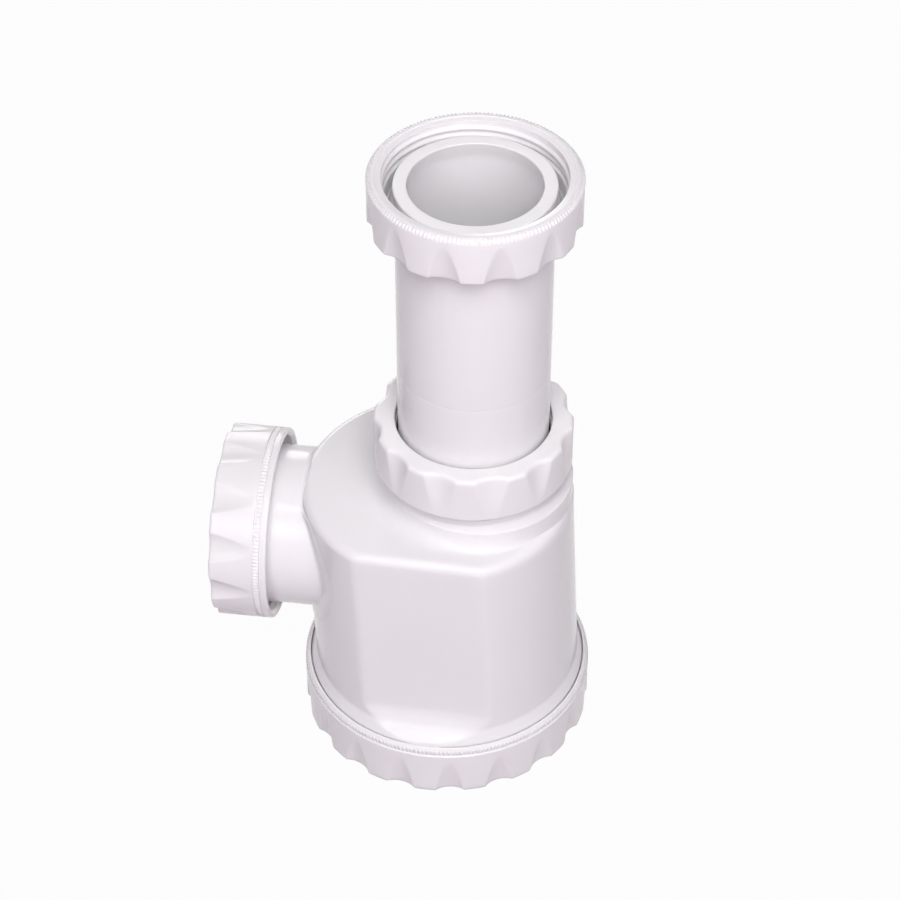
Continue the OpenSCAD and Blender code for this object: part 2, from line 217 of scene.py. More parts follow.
def outline(corners, step=1.5, turns=4):
    """An outline through corners (r, z, rounding, step), in mm. At each corner a curve leaves and meets
    the straight sides at a distance of rounding, and at most 0.45 of a side: the blend
    (1-t)^2 a + 2t(1-t) corner + t^2 b. Straight sides are cut into pieces no longer than the corner's
    own step."""
    pts = [np.array(c[:2], float) for c in corners]
    path = [pts[0][None]]
    for k in range(1, len(pts)):
        start, corner, arc = path[-1][-1], pts[k], None
        end = corner
        if k < len(pts) - 1:
            inward, onward = pts[k - 1] - corner, pts[k + 1] - corner
            in_length, on_length = np.linalg.norm(inward), np.linalg.norm(onward)
            size = min(corners[k][2], 0.45 * in_length, 0.45 * on_length)
            end, leave = corner + inward / in_length * size, corner + onward / on_length * size
            t = steps(turns)
            arc = (1 - t) ** 2 * end + 2 * t * (1 - t) * corner + t ** 2 * leave
        longest = corners[k][3] if len(corners[k]) > 3 else step
        count = max(1, int(np.ceil(np.linalg.norm(end - start) / longest)))
        path.append(start + (end - start) * (np.arange(1, count + 1) / count)[:, None])
        if arc is not None:
            path.append(arc)
    path = np.concatenate(path)
    return path[np.r_[True, np.linalg.norm(np.diff(path, axis=0), axis=1) > 1e-4]]


def soft_min(a, b, width):
    """The smaller of a and b, rounded over width where they meet: min(a, b) - h^2 / (4 width), with
    h = max(width - |a - b|, 0)."""
    h = np.maximum(width - np.abs(a - b), 0.0)
    return np.minimum(a, b) - h * h / (4.0 * width)


def ramp(x, start, end):
    """0 before start, 1 after end, with a soft turn at both: t^2 (3 - 2t)."""
    t = np.clip((x - start) / (end - start), 0.0, 1.0)
    return t * t * (3.0 - 2.0 * t)


def angles(count):
    """Angles round an axis, from +X towards +Y, as one row."""
    return (np.arange(count) * (2.0 * np.pi / count))[None, :]


print("a rounded square corner has", len(outline([(0, 0, 0), (3, 0, 1), (3, 3, 0)])), "points")

# %% [markdown]
# ## From a grid to a mesh
# A mesh wants points and faces. The points are the grid's own, and each face joins four neighbours, so
# the faces follow from the grid's rows and columns alone. Where an outline ends on the axis, its last
# row closes with a fan of triangles round one point, the pole.

# %% Grids into meshes
def grid_faces(rows, columns, close_rows):
    """Corner numbers of the quads of a grid that closes round its columns."""
    i = np.arange(rows if close_rows else rows - 1)[:, None]
    j = np.arange(columns)[None, :]
    i2, j2 = (i + 1) % rows, (j + 1) % columns
    return np.stack([i * columns + j, i * columns + j2, i2 * columns + j2, i2 * columns + j],
                    axis=-1).reshape(-1, 4)


def skin(r, z, poles=False):
    """Points, quads and triangles from grids of radius and height, both outline by angle: x is
    r cos a and y is r sin a. A closed outline joins its last row to its first, and an outline that
    starts and ends on the axis gets one point at each pole."""
    rows, columns = r.shape
    turn = angles(columns)
    points = np.stack([r * np.cos(turn), r * np.sin(turn), z + 0 * r], axis=-1).reshape(-1, 3)
    quads, triangles = grid_faces(rows, columns, not poles), np.zeros((0, 3), int)
    if poles:
        ends = np.array([[0, 0, z[0, 0]], [0, 0, z[-1, 0]]])
        pole, last, j = len(points), (rows - 1) * columns, np.arange(columns)
        j2 = (j + 1) % columns
        triangles = np.concatenate([np.stack([pole + 0 * j, j2, j], axis=-1),
                                    np.stack([pole + 1 + 0 * j, last + j, last + j2], axis=-1)])
        points = np.concatenate([points, ends])
    return points, quads, triangles


def put_mesh(name, points, quads, triangles, material):
    """A mesh from points in mm, with smooth faces, and its object at the origin."""
    mesh = bpy.data.meshes.new(name)
    corner = np.concatenate([quads.ravel(), triangles.ravel()])
    starts = np.concatenate([np.arange(len(quads)) * 4,
                             len(quads) * 4 + np.arange(len(triangles)) * 3])
    mesh.vertices.add(len(points))
    mesh.vertices.foreach_set("co", (points * 0.001).astype(np.float32).ravel())
    mesh.loops.add(len(corner))
    mesh.loops.foreach_set("vertex_index", corner.astype(np.int32))
    mesh.polygons.add(len(starts))
    mesh.polygons.foreach_set("loop_start", starts.astype(np.int32))
    mesh.update(calc_edges=True)
    mesh.validate()
    mesh.shade_smooth()
    mesh.materials.append(material)
    piece = bpy.data.objects.new(name, mesh)
    bpy.context.scene.collection.objects.link(piece)
    return piece


def turned(name, r, z, place, material, body, slot, *nodes, poles=False):
    """A turned piece. place carries the skin's own x, y and z into the frame. The piece rides on a
    body and stands for the frame's nodes that are named. slot is not used."""
    points, quads, triangles = skin(r, z, poles)
    piece = put_mesh(name, place(points), quads, triangles, material)
    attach(piece, body)
    if nodes:
        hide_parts(*nodes)
    print(name, len(quads) * 2 + len(triangles), "triangles")
    return piece

# %% [markdown]
# ## Sizes
# These are the sizes of the frame's own solids, so that each surface takes the place of its solid. The
# barrel's axis starts at the origin. The flats in front and behind are turned by two degrees about it.

# %% Sizes in mm
# Places of the neck's and the boss's axes along x, and the height of the outlet's axis.
NECK_X, BOSS_X, OUTLET_Z = 7.3, 9.5, 61.2
# Barrel: radius at its foot and top, both heights, lean of its top to the left, shoulder and wall.
FOOT_R, TOP_R, FOOT_Z, ROOF_Z, LEAN, SHOULDER, WALL = 37.9, 37.6, 21.2, 82.4, 2.6, 2.6, 2.4
# Flats, the ring above the cap, and the foot that screws into the cap.
FLAT_Y, FLAT_TURN, RING_R, RING_Z = 33.4, np.radians(2.0), 39.4, 17.5
FOOT_BORE_R, FOOT_THREAD_R = 35.2, 37.6
# Boss, neck and dip tube.
BOSS_R, BOSS_TOP, NECK_R, NECK_TOP, BORE_R, DIP_R, DIP_Z = 25.3, 88.0, 23.3, 100.6, 21.2, 23.1, 13.0
# Outlet: spigot, its thread, socket, way through, the socket's stop and the mouth.
SPIGOT_R, MOUTH_R, SOCKET_R, PORT_R, STOP_X, OUTLET_TOP = 22.4, 23.3, 20.9, 18.0, 41.4, 55.6
# Inlet tube, its flange, the washer's seat and the inlet nut's rim.
TUBE_R, TUBE_END_Z, FLANGE_Z, WASHER_Z, RIM_Z = 20.5, 82.0, 177.5, 181.3, 188.1
# Nuts: lengths, radii, hole and threads, and where the closed ends of the other two lie.
NUT_H, OUTLET_NUT_H, NUT_R, INLET_NUT_R = 13.8, 16.0, 27.1, 27.5
HOLE_R, NUT_THREAD_R, INLET_THREAD_R = 21.3, 24.9, 23.85
NECK_NUT_TOP, OUTLET_END_X = 107.9, 62.9
# Cap, and how far each thread climbs in a turn.
CAP_R, CAP_H, CAP_FLOOR, CAP_THREAD_R = 41.3, 17.5, 3.0, 38.8
PITCH, INLET_PITCH = 3.5, 2.31
print("trap", RIM_Z, "mm high, tube", 2 * TUBE_R, "mm, cap", 2 * CAP_R, "mm across")

# %% [markdown]
# ## Three ways to stand a turned piece
# Every turned piece is made about the z axis. Then it is set on its own axis: upright on the neck or
# the foot, or lying on the outlet. A nut is drawn with its closed end down, so the neck nut and the
# outlet nut are turned over first.

# %% Places for turned pieces
def upright(x, z=0.0):
    """Stands a turned piece on the vertical axis at x, lifted by z."""
    return lambda p: p + np.array([x, 0.0, z])


def at_outlet(p):
    """Lays a turned piece on the outlet's axis: its +z points out of the outlet, its +x points up."""
    return np.stack([-p[:, 2], p[:, 1], p[:, 0] + OUTLET_Z], axis=-1)


def turned_over(p):
    """Turns a cup over about its x axis, so that its closed end points along +z."""
    return p * np.array([1.0, -1.0, -1.0])


print("up from the outlet's axis:", at_outlet(np.array([[10.0, 0.0, 0.0]]))[0])

# %% [markdown]
# ## Scallops, knurls and threads
# A hand grips the nuts by their scallops. A mould maker cuts each with a cone that leans on the wall, so
# it is wide and deep at the closed end and runs out to a point near the rim. A ray from the axis meets
# that cone at a distance that a formula gives, and the wall is the nearer of the two. The closed end's
# rounded edge has to follow the scallops, so all the shell's rows outside a core are scaled with the
# wall. Near the rim goes a fine knurl, a row of small beads. The thread is one ridge that climbs by a
# pitch a turn: its height depends only on how far a point is from the ridge, counted along the axis.

# %% Functions for grips
SCALLOP_DEPTH, CORE_DEPTH, BAND_EDGE, BAND_DEPTH = 1.7, 5.0, 0.25, 1.5


def scallop_wall(turn, z, centre, count, r, cutter, rise):
    """Radius at which a ray meets the nearest cone cutter. With D the cutter's distance from the axis,
    c its radius at this height and a the angle to it: D cos a - sqrt(c^2 - D^2 sin^2 a). A ray that
    misses the cone gets a radius past the wall."""
    step = 2.0 * np.pi / count
    a = (turn - centre + step / 2) % step - step / 2
    far = r - SCALLOP_DEPTH + cutter
    inside = (cutter - SCALLOP_DEPTH * z / rise) ** 2 - (far * np.sin(a)) ** 2
    return np.where(inside > 0, far * np.cos(a) - np.sqrt(np.maximum(inside, 0.0)), r + 1.0)


def gripped(path, columns, r_out, centre, count, cutter, rise, beads, low, high, bead, soft=0.2):
    """A cup's outline with its grip: with w the scalloped wall and k a core inside the wall, a shell
    row at r goes to k + (r - k)(w - k) / (r_out - k). Beads, bead/2 (1 + cos), stand on the band from
    low to high. Rows past the rim's top are the inside and stay round."""
    turn, r, z = angles(columns), path[:, :1], path[:, 1:]
    shell = (np.arange(len(path)) <= np.argmax(path[:, 1]))[:, None]
    cones = scallop_wall(turn, z, centre, count, r_out, cutter, rise)
    wall = soft_min(r_out + 0 * turn * z, cones, soft)
    core = r_out - CORE_DEPTH
    grid = np.where(shell & (r > core), core + (r - core) * (wall - core) / (r_out - core), r)
    band = ramp(z, low, low + BAND_EDGE) * (1.0 - ramp(z, high - BAND_EDGE, high))
    band = band * shell * (r > r_out - BAND_DEPTH)
    return grid + bead * band * (0.5 + 0.5 * np.cos(turn * beads)), z + 0 * grid


deep = scallop_wall(0.0, 0.0, 0.0, 12, NUT_R, 8.0, NUT_H)
print("a scallop goes", round(NUT_R - float(deep), 2), "mm deep")

# %% [markdown]
# ## Where a thread goes
# A thread stands only on the straight part of an outline. An outside thread picks the rows that lie at
# its radius. An inside thread is let fade over the rows beside them, so that it runs out softly into
# the nut's floor.

# %% Functions for threads
CREST, FLANK_OUT, FLANK_IN, RUN_OUT = 0.42, 0.14, 0.10, 0.9


def thread(turn, z, pitch, start, end, height):
    """A right-hand ridge: with s the distance to it along the axis, in pitches, its height is a soft
    hump of s, faded at each end of the threaded length."""
    s = (z / pitch - turn / (2.0 * np.pi)) % 1.0
    hump = ramp(0.5 - np.abs(s - 0.5), 0.5 - CREST / 2 - FLANK_OUT, 0.5 - CREST / 2 + FLANK_IN)
    return height * hump * ramp(z, start, start + RUN_OUT) * (1.0 - ramp(z, end - RUN_OUT, end))


def rows_at(path, r):
    """True on the rows of an outline that lie at radius r."""
    return np.abs(path[:, :1] - r) < 0.02


def bore_at(path, r):
    """1 on the rows of an outline at radius r, and 0 on those more than 0.1 away from it."""
    return 1.0 - ramp(np.abs(path[:, :1] - r), 0.02, 0.1)


ridge = thread(angles(36), np.full((1, 1), 8.0), PITCH, 4.0, 12.0, 0.4)
print("a nut's ridge stands", round(float(ridge.max()), 2), "mm")

# %% [markdown]
# ## The inlet nut
# The nut at the top takes the sink's waste. Its opening shows a rim with a fine step, a slope and the
# thread, so its outline has more corners than the others: up the grip, over a beaded chamfer, across the
# rim's face, down the slope and the thread to the seat that the tube's flange rests on.

# %% Inlet nut
inlet_path = outline([(HOLE_R, 1.6, 0), (HOLE_R, 0, 0.4), (INLET_NUT_R, 0, 0.7),
                      (INLET_NUT_R, 12.4, 0.15, 0.5), (26.65, 13.8, 0.2, 0.2), (26.5, 13.55, 0.05),
                      (26.3, 13.8, 0.08), (25.4, 13.8, 0.1), (25.3, 13.55, 0.05), (23.75, 13.3, 0.1),
                      (INLET_THREAD_R, 12.7, 0.1), (INLET_THREAD_R, 7.8, 0.1, 0.3), (23.0, 7.4, 0.2),
                      (23.0, 3.2, 0.3, 2.0), (HOLE_R, 3.2, 0.3), (HOLE_R, 1.7, 0)])
inlet_r, inlet_h = gripped(inlet_path, 800, INLET_NUT_R, centre=np.radians(-90 - 9.5), count=12,
                           cutter=8.0, rise=NUT_H - 3.0, beads=160, low=12.5, high=13.8, bead=0.4)
inlet_r = inlet_r - bore_at(inlet_path, INLET_THREAD_R) * thread(
    angles(800), inlet_h, INLET_PITCH, start=7.9, end=12.6, height=0.6)
turned("union_nut_inlet", inlet_r, inlet_h, upright(NECK_X, RIM_Z - NUT_H), nut_white, "inlet_nut",
       "nut_plastic", "inlet_nut")

# %% [markdown]
# ## The neck nut and the outlet nut
# Both are cups with a hole in the closed end, which points up on the neck and out on the outlet. The
# neck nut is plain. The outlet nut is longer, and its beads lie in a shallow groove between the scallops
# and the rim.

# %% Neck nut and outlet nut
def cup(name, length, grip, rise, soft, centre, place, body, beads=0, low=0.0, high=1.0, bead=0.0):
    """A union nut: the grip's own corners between a common closed end and a common thread. The nut
    stands for the frame's node that has its body's name."""
    path = outline([(HOLE_R, 1.6, 0), (HOLE_R, 0, 0.5)] + grip + [
        (25.7, length, 0.3), (NUT_THREAD_R, length - 0.8, 0.2), (NUT_THREAD_R, 3.2, 0.4, 0.45),
        (HOLE_R, 3.2, 0.4), (HOLE_R, 1.7, 0)])
    r, z = gripped(path, 780, NUT_R, centre, 12, 8.0, rise, beads, low, high, bead, soft)
    r = r - bore_at(path, NUT_THREAD_R) * thread(angles(780), z, PITCH, 4.0, length - 1.2, 0.4)
    turned(name, r, z, place, nut_white, body, "nut_plastic", body)


cup("union_nut_neck", NUT_H, [(NUT_R, 0, 1.3), (NUT_R, NUT_H, 0.5, 0.5)], rise=NUT_H - 3.0, soft=0.6,
    centre=np.radians(90 - 17.7), body="neck_nut",
    place=lambda p: turned_over(p) + np.array([NECK_X, 0.0, NECK_NUT_TOP]))
groove_r, collar_r = NUT_R - 0.55, NUT_R - 0.05
cup("union_nut_outlet", OUTLET_NUT_H,
    [(NUT_R, 0, 0.8), (NUT_R, 12.1, 0.12, 0.5), (groove_r, 12.3, 0.1), (groove_r, 14.0, 0.1, 0.25),
     (collar_r, 14.2, 0.1), (collar_r, OUTLET_NUT_H, 0.8, 0.5)], rise=11.8, soft=0.2,
    centre=np.radians(-25.0), body="outlet_nut", beads=156, low=12.3, high=14.0, bead=0.5,
    place=lambda p: at_outlet(turned_over(p) + np.array([0.0, 0.0, OUTLET_END_X])))

# %% [markdown]
# ## The base cap
# The cap is a wide cup, so its outline starts and ends on the axis and both ends close in a pole. Its
# underside has a ring groove and a mould gate mark at the centre, and inside, the floor carries the flat
# seal. Its scallops are shorter than a nut's, and under a chamfered rim it has a lip and a row of beads.

# %% Cap
cap_path = outline([(0.05, 0.35, 0), (2.2, 0.35, 0.3), (2.8, 0.02, 0.3), (32.3, 0.0, 0.2, 10.0),
                    (32.4, 0.8, 0.2), (35.2, 0.8, 0.2, 3.0), (35.3, 0.0, 0.2), (CAP_R, 0.0, 1.4, 3.0),
                    (CAP_R, 14.9, 0.2, 0.7), (40.7, 15.15, 0.05), (40.75, 16.75, 0.3, 0.25),
                    (40.25, CAP_H, 0.2), (39.8, CAP_H, 0.15), (39.8, 15.1, 0.3, 1.0),
                    (CAP_THREAD_R, 15.1, 0.3), (CAP_THREAD_R, CAP_FLOOR, 0.8, 0.7),
                    (0.05, CAP_FLOOR, 0, 10.0)], step=3.0, turns=3)
cap_r, cap_h = gripped(cap_path, 880, CAP_R, centre=np.radians(-90 + 8.7), count=18, cutter=7.0,
                       rise=12.3, beads=220, low=15.1, high=16.8, bead=0.5)
cap_r = cap_r - bore_at(cap_path, CAP_THREAD_R) * thread(
    angles(880), cap_h, PITCH, start=4.2, end=14.6, height=0.35)
turned("base_cap_cup", cap_r, cap_h, upright(0.0), nut_white, "cap", "nut_plastic", "base_cap",
       poles=True)

# %% [markdown]
# ## Tube, washer, rings and seals
# The inlet tube is a turned tube with a thick flange for the nut to pull on, a bore that tapers so that
# it leaves its mould, and a thin line where two mould parts met. A thin lip of the tube lines the
# washer, so that the bore looks whole from above. The washer, the slip rings and the seals are turned
# rings. Their edges are rounded too, since light catches every edge.

# %% Tube and washer
def ring(name, corners, place, material, body, slot, node, columns=256):
    """A turned ring whose outline closes on its first corner."""
    path = outline(corners + [corners[0]])[:-1]
    grid = path[:, :1] + np.zeros((1, columns))
    return turned(name, grid, path[:, 1:] + 0 * grid, place, material, body, slot, node)


LIP_Z = WASHER_Z + 3.3
ring("inlet_tube_wall", [(17.85, 131.6, 0), (18.3, TUBE_END_Z + 0.9, 0.3, 4.0), (19.0, TUBE_END_Z, 0.3),
                         (TUBE_R, TUBE_END_Z, 0.5), (TUBE_R, 126.8, 0.05, 4.0),
                         (TUBE_R - 0.07, 127.0, 0.05), (TUBE_R, 127.2, 0.05),
                         (TUBE_R, FLANGE_Z, 0.3, 4.0), (22.1, FLANGE_Z, 0.3), (22.1, 179.0, 0.5),
                         (21.0, WASHER_Z, 0.2), (17.8, WASHER_Z, 0.05), (17.8, LIP_Z, 0.05),
                         (17.4, LIP_Z, 0.05)],
     upright(NECK_X), bottle_white, "tube", "body_plastic", "inlet_tube", columns=320)
ring("inlet_washer_ring", [(17.8, 183, 0), (17.8, WASHER_Z, 0.05), (20.9, WASHER_Z, 0.3),
                           (20.9, WASHER_Z + 3.8, 0.5), (17.4, WASHER_Z + 3.8, 0.25),
                           (17.4, LIP_Z, 0.05), (17.8, LIP_Z, 0.05)],
     upright(NECK_X), washer_white, "tube", "washer_plastic", "inlet_washer", columns=320)

# %% Seals and slip rings
SEAL_R, SEAL_OUT_R, SEAL_H, SLIP_H = 20.9, 24.5, 2.4, 1.6


def joint_seal(name, place, top, body, node):
    """A flat seal on a mouth at height top, with a tapered lip that wedges into the mouth below it."""
    ring(name, [(SEAL_R, top, 0), (SEAL_R, top - 1.8, 0.1), (21.3, top - 1.8, 0.2), (22.7, top, 0.2),
                (SEAL_OUT_R, top, 0.5), (SEAL_OUT_R, top + SEAL_H, 0.5), (SEAL_R, top + SEAL_H, 0.3)],
         place, rubber_black, body, "seal_rubber", node)


def slip_ring(name, place, low, body, node):
    """A thin ring on the seal, which the nut's floor slides on as it is tightened."""
    ring(name, [(SEAL_R, low + SLIP_H / 2, 0), (SEAL_R, low, 0.3), (SEAL_OUT_R, low, 0.4),
                (SEAL_OUT_R, low + SLIP_H, 0.4), (SEAL_R, low + SLIP_H, 0.3)],
         place, slip_white, body, "slip_plastic", node)


joint_seal("neck_seal_ring", upright(NECK_X), NECK_TOP, "neck_ring", "neck_seal")
slip_ring("neck_slip_washer", upright(NECK_X), NECK_TOP + SEAL_H, "neck_ring", "neck_slip_ring")
joint_seal("outlet_seal_ring", at_outlet, OUTLET_TOP, "outlet_ring", "outlet_seal")
slip_ring("outlet_slip_washer", at_outlet, OUTLET_TOP + SEAL_H, "outlet_ring", "outlet_slip_ring")
ring("base_seal_flat", [(33.5, 4.0, 0), (33.5, CAP_FLOOR, 0.3), (38.4, CAP_FLOOR, 0.4),
                        (38.4, 5.2, 0.4), (33.5, 5.2, 0.3)], upright(0.0), rubber_black, "cap_seal",
     "seal_rubber", "base_cap_seal")

# %% [markdown]
# ## The bottle
# The bottle is one moulding: a leaning barrel with a flat in front and behind, a roof, an eccentric
# boss, the neck, and the dip tube inside. All of it can be one closed skin, if every ring of the grid
# goes round the neck's axis: the outline runs up the outside, over the roof and the neck, down the dip
# tube, and back up and down inside the barrel. On each ring the distance from the axis is a formula.

# %% The barrel's wall as a formula
COLUMNS, FLAT_SOFT, RING_SOFT = 324, 0.7, 0.2
turn = angles(COLUMNS)
ledge = outline([(RING_R, 17.9, 0), (FLAT_Y + 2.0, 20.6, 1.8, 0.2), (FLAT_Y, 24.7, 3.0, 0.2),
                 (FLAT_Y, 60.0, 0)])


def to_circle(x, r):
    """Distance from the neck's axis to a circle with its centre at x: with e the offset of the centres,
    e cos a + sqrt(r^2 - e^2 sin^2 a)."""
    e = x - NECK_X
    return e * np.cos(turn) + np.sqrt(r * r - (e * np.sin(turn)) ** 2)


def to_flat(y):
    """Distance from the neck's axis to the turned flats at y: (y -+ e sin b) / |sin(a + b)|. The sine
    is kept from 0, where a ray runs along the flats and the circle counts anyway."""
    lean = np.sin(turn + FLAT_TURN)
    return (y - np.sign(lean) * NECK_X * np.sin(FLAT_TURN)) / np.maximum(np.abs(lean), 0.05)


def barrel(z, inset=0.0):
    """The barrel's wall: the farther of the leaning circle and the foot's cone, and then the nearer of
    that and the flats with their ledge. The cone goes on inwards above the foot, to 4 times its
    height, so that only the circle counts there."""
    up = np.clip((z - FOOT_Z) / (ROOF_Z - FOOT_Z), 0, 1)
    circle = to_circle(-LEAN * up, FOOT_R + (TOP_R - FOOT_R) * up - inset)
    down = np.clip((z - RING_Z) / (FOOT_Z - RING_Z), 0, 4)
    cone = to_circle(0.0, RING_R - (RING_R - FOOT_R) * down - inset)
    flat = to_flat(np.interp(z, ledge[:, 1], ledge[:, 0]) - inset)
    return soft_min(-soft_min(-circle, -cone, RING_SOFT), flat, FLAT_SOFT)


print("from the neck's axis to the wall:", barrel(np.full((1, 1), 50.0))[0, ::81].round(1), "mm")

# %% [markdown]
# ## The bottle's outside
# The roof meets the wall in a soft shoulder and runs level to the boss. The boss's foot is a wide hollow
# curve, as a moulder likes it, and its top edge is crisp: it shows as one thin line of light round the
# neck. On the side where boss and barrel nearly touch, the same rows close up and nothing crosses.

# %% Foot and wall
def column(*values):
    """Numbers as one column, so that they run along an outline."""
    return np.array(values, float)[:, None]


LEDGE_TOP = 26.0
foot_path = outline([(FOOT_BORE_R, 6.2, 0), (FOOT_BORE_R, 5.2, 0.3), (37.4, 5.2, 0.5),
                     (FOOT_THREAD_R, 6.4, 0.4), (FOOT_THREAD_R, 15.3, 0.3, 0.4), (RING_R, 15.5, 0.3),
                     (RING_R, 17.3, 0.2)])
foot_r, foot_z = to_circle(0.0, foot_path[:, :1]), foot_path[:, 1:]
foot_r = foot_r + rows_at(foot_path, FOOT_THREAD_R) * thread(
    turn, foot_z, PITCH, start=6.4, end=14.8, height=0.75)
wall_z = np.concatenate([np.linspace(17.4, LEDGE_TOP, 34),
                         np.linspace(LEDGE_TOP, ROOF_Z - SHOULDER, 40)[1:]])[:, None]
wall_r = barrel(wall_z)
print("foot", len(foot_z), "rows, wall", len(wall_z), "rows")

# %% Shoulder, roof and boss
HOLLOW, LIP = 5.2, 0.3
rim = barrel(column(ROOF_Z))
boss = np.minimum(-soft_min(-to_circle(BOSS_X, BOSS_R), -(NECK_R + 0.5), 0.4), rim - 0.2)
bend = np.minimum(rim - boss, SHOULDER)
quarter = np.arccos(1 - bend / SHOULDER) * steps(8)
shoulder_r = rim - SHOULDER * (1 - np.cos(quarter))
shoulder_z = ROOF_Z - SHOULDER + SHOULDER * np.sin(quarter)
edge_r, edge_z = shoulder_r[-1:], shoulder_z[-1:]
hollow = np.minimum(HOLLOW, 0.6 * (edge_r - boss))
t = steps(8)
roof_r, roof_z = edge_r + (boss + hollow - edge_r) * t, edge_z + 0 * t
t = steps(12, np.pi / 2)
boss_r = boss + hollow * (1 - np.sin(t))
boss_z = edge_z + (BOSS_TOP - LIP - edge_z) * (1 - np.cos(t))
t = steps(4, np.pi / 2)
lip_r, lip_z = boss - LIP * (1 - np.cos(t)), BOSS_TOP - LIP + LIP * np.sin(t)
t = steps(3)[:-1]
slope_r, slope_z = lip_r[-1:] + (NECK_R - lip_r[-1:]) * t, BOSS_TOP + 0.6 * t
print("shoulder, roof and boss", len(shoulder_r) + len(roof_r) + len(boss_r), "rows")

# %% [markdown]
# ## The neck, the inside and the whole skin
# The neck's outline goes on down its bore, round the foot of the dip tube and up to the ceiling. The
# barrel's inner wall is the outer one moved in by the wall's thickness. Then all the rows are laid on
# each other in order, and the last one joins the first.

# %% Neck, dip tube, inner wall, and the whole skin
CEILING_Z = ROOF_Z - WALL
neck_path = outline([(NECK_R, 88.6, 0), (NECK_R, NECK_TOP, 0.4, 0.4), (BORE_R + 1.8, NECK_TOP, 0.2),
                     (BORE_R, NECK_TOP - 1.8, 0.4), (BORE_R, DIP_Z, 0.4, 4.0), (DIP_R, DIP_Z, 0.4),
                     (DIP_R, CEILING_Z, 0.8, 4.0), (DIP_R + 1.0, CEILING_Z, 0)])
neck_r, neck_z = neck_path[:, :1] + 0 * turn, neck_path[:, 1:]
neck_r = neck_r + rows_at(neck_path, NECK_R) * thread(
    turn, neck_z, PITCH, start=90.4, end=100.2, height=1.1)
inner_z = np.concatenate([[CEILING_Z], np.linspace(CEILING_Z - 0.6, FOOT_Z, 30)])[:, None]
inner_r = barrel(inner_z, WALL)
ceiling_r = DIP_R + 1.0 + (inner_r[:1] - DIP_R - 1.0) * steps(4)[:-1]
rows = [(foot_r, foot_z), (wall_r, wall_z), (shoulder_r, shoulder_z), (roof_r, roof_z),
        (boss_r, boss_z), (lip_r, lip_z), (slope_r, slope_z), (neck_r, neck_z),
        (ceiling_r, column(CEILING_Z)), (inner_r, inner_z),
        (to_circle(0.0, column(FOOT_BORE_R, FOOT_BORE_R)), column(19.0, 16.0))]
body_r = np.concatenate([r + 0 * z + 0 * turn for r, z in rows])
body_z = np.concatenate([z + 0 * r + 0 * turn for r, z in rows])
bottle = turned("bottle_shell", body_r, body_z, upright(NECK_X), bottle_white, "bottle",
                "body_plastic", "bottle_body")

# %% [markdown]
# ## The outlet's way through
# Water has to leave through the wall, so a round way is cut on the outlet's axis. Such a hole has no
# place in the grid, and in the mould it is a core that is pulled out sideways. A Boolean does the same:
# a rod takes its own space out of the skin, and the result is kept as the bottle's own mesh.

# %% Cut the way through the wall
def pulled_core(piece, radius, start, end):
    """Cuts a round way on the outlet's axis, between two distances from the origin."""
    rod = np.full((2, 96), radius)
    points, quads, triangles = skin(rod, column(start, end) + 0 * rod, poles=True)
    core = put_mesh("core", at_outlet(points), quads, triangles, piece.data.materials[0])
    cut = piece.modifiers.new("core", "BOOLEAN")
    cut.object, cut.operation, cut.solver = core, "DIFFERENCE", "EXACT"
    solid = piece.data
    shaped = piece.evaluated_get(bpy.context.evaluated_depsgraph_get())
    piece.data = bpy.data.meshes.new_from_object(shaped)
    piece.modifiers.remove(cut)
    bpy.data.objects.remove(core)
    print(piece.name, len(solid.polygons), "faces, with its way out", len(piece.data.polygons))
    bpy.data.meshes.remove(solid)


pulled_core(bottle, radius=18.7, start=28.0, end=48.0)

# %% [markdown]
# ## The outlet spigot
# The spigot is a turned socket that stands on a thin round pad on the barrel. Each row of its root is
# a radius about the outlet's axis, and how far it stands out follows the barrel's own wall there, so
# pad and barrel curve together, and the pad's edge fades into the wall. The pad stops level near the
# top, and there the spigot stands a little higher than the roof, so the same rows dive into the
# shoulder instead. The rows run from the mouth inwards, so they are turned round at the end to make the
# faces look outwards.

# %% Mouth of the spigot
phi = angles(COLUMNS)
NARROW_X = 46.0                            # where the spigot's rows leave its turned outline


def stand(r, lift, inset=0.0):
    """How far out the barrel's wall is at radius r about the outlet's axis: with u the height there,
    lean + sqrt(R^2 - y^2), R falling on the shoulder's quarter turn, plus a lift along the wall's own
    normal."""
    u, y = OUTLET_Z + r * np.cos(phi), r * np.sin(phi)
    up = np.clip((u - FOOT_Z) / (ROOF_Z - FOOT_Z), 0, 1)
    drop = np.clip(u - (ROOF_Z - SHOULDER), 0, SHOULDER)
    big = FOOT_R + (TOP_R - FOOT_R) * up - SHOULDER + np.sqrt(SHOULDER ** 2 - drop ** 2) - inset
    across = np.sqrt(big * big - y * y)
    return LEAN * up + across + lift * big / across


mouth_path = outline([(PORT_R, 40.0, 0), (PORT_R, STOP_X, 0.3, 2.0), (SOCKET_R, STOP_X, 0.3),
                      (SOCKET_R, OUTLET_TOP - 1.8, 0.3, 2.0), (22.7, OUTLET_TOP, 0.1),
                      (23.0, OUTLET_TOP, 0.1), (MOUTH_R, OUTLET_TOP - 0.4, 0.15),
                      (MOUTH_R, 49.6, 0.2, 0.4), (SPIGOT_R, 48.6, 0.4), (SPIGOT_R, NARROW_X, 0)])
mouth_r, mouth_x = mouth_path[:, :1] + 0 * phi, mouth_path[:, 1:] + 0 * phi
mouth_r = mouth_r + rows_at(mouth_path, MOUTH_R) * thread(
    phi, mouth_x, PITCH, start=49.4, end=55.4, height=1.05)
print("the wall stands", stand(SPIGOT_R, 0.0)[0, ::81].round(1), "mm out round the spigot")

